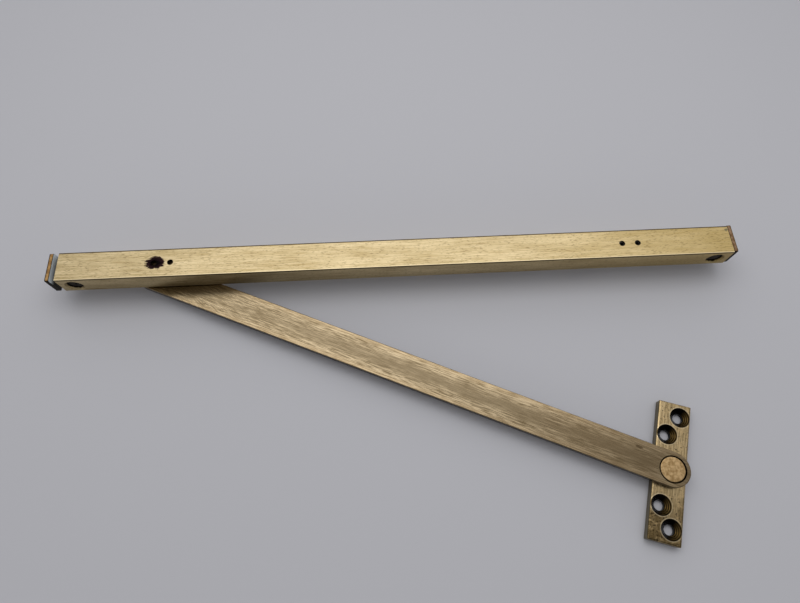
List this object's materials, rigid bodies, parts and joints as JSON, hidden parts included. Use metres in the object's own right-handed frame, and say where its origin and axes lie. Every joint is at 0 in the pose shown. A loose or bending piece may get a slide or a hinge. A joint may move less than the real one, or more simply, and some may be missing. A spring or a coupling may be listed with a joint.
{
  "type": "overhead door holder",
  "caption": "Slotted brass channel with an inner slide, a swinging arm and a screw-on frame bracket: it limits a door's swing on a sprung buffer and holds the door open.",
  "frame": {"origin": "on the channel's back face, midway between its two door screw holes and on their axis height", "axes": "+X along the channel from the slide to the buffer, +Y out of the back face to the door, +Z square to the plane that the arm swings in"},
  "size_m": [0.5502, 0.239, 0.0323],
  "materials": {
    "satin_brass": "satin brushed along the channel",
    "antique_brass": "dulled brass with coarse brush streaks",
    "end_bronze": "dull bronze",
    "slide_bronze": "machined bronze",
    "rivet_brass": "turned brass",
    "zinc_steel": "zinc-plated steel",
    "dark_steel": "oiled spring steel",
    "white_nylon": "plain nylon",
    "black_rubber": "moulded rubber"
  },
  "bodies": {
    "track": {"channel": "satin_brass", "left_end_block": "zinc_steel", "right_end_block": "zinc_steel", "left_end_plate": "end_bronze", "right_end_plate": "end_bronze", "stop_block": "zinc_steel", "stop_pins": "dark_steel", "guide_bolt": "dark_steel", "shock_spring": "dark_steel"},
    "buffer": {"buffer_block": "zinc_steel", "hold_open_clip": "dark_steel", "clip_rivets": "zinc_steel", "bumper_pad": "black_rubber"},
    "slide": {"slide_block": "slide_bronze", "arm_stud": "rivet_brass", "stud_washer": "white_nylon"},
    "arm": {"arm": "antique_brass"},
    "bracket": {"frame_bracket": "antique_brass", "bracket_rivet": "rivet_brass", "bracket_washer": "white_nylon"}
  },
  "joints": [
    {"name": "slide_travel", "type": "slide", "parent": "track", "child": "slide", "axis": [1, 0, 0], "range_m": [-0.0201, 0.2637]},
    {"name": "arm_swing", "type": "hinge", "parent": "slide", "child": "arm", "pos_m": [-0.20187, -0.0122, -0.00935], "axis": [0, 0, 1], "continuous": true},
    {"name": "bracket_swing", "type": "hinge", "parent": "arm", "child": "bracket", "pos_m": [0.18967, -0.18653, -0.00935], "axis": [0, 0, 1], "continuous": true},
    {"name": "buffer_travel", "type": "slide", "parent": "track", "child": "buffer", "axis": [1, 0, 0], "range_m": [0, 0.012], "stiffness_N_per_m": 4000, "springref_m": -0.006, "deforming": ["shock_spring"]}
  ]
}
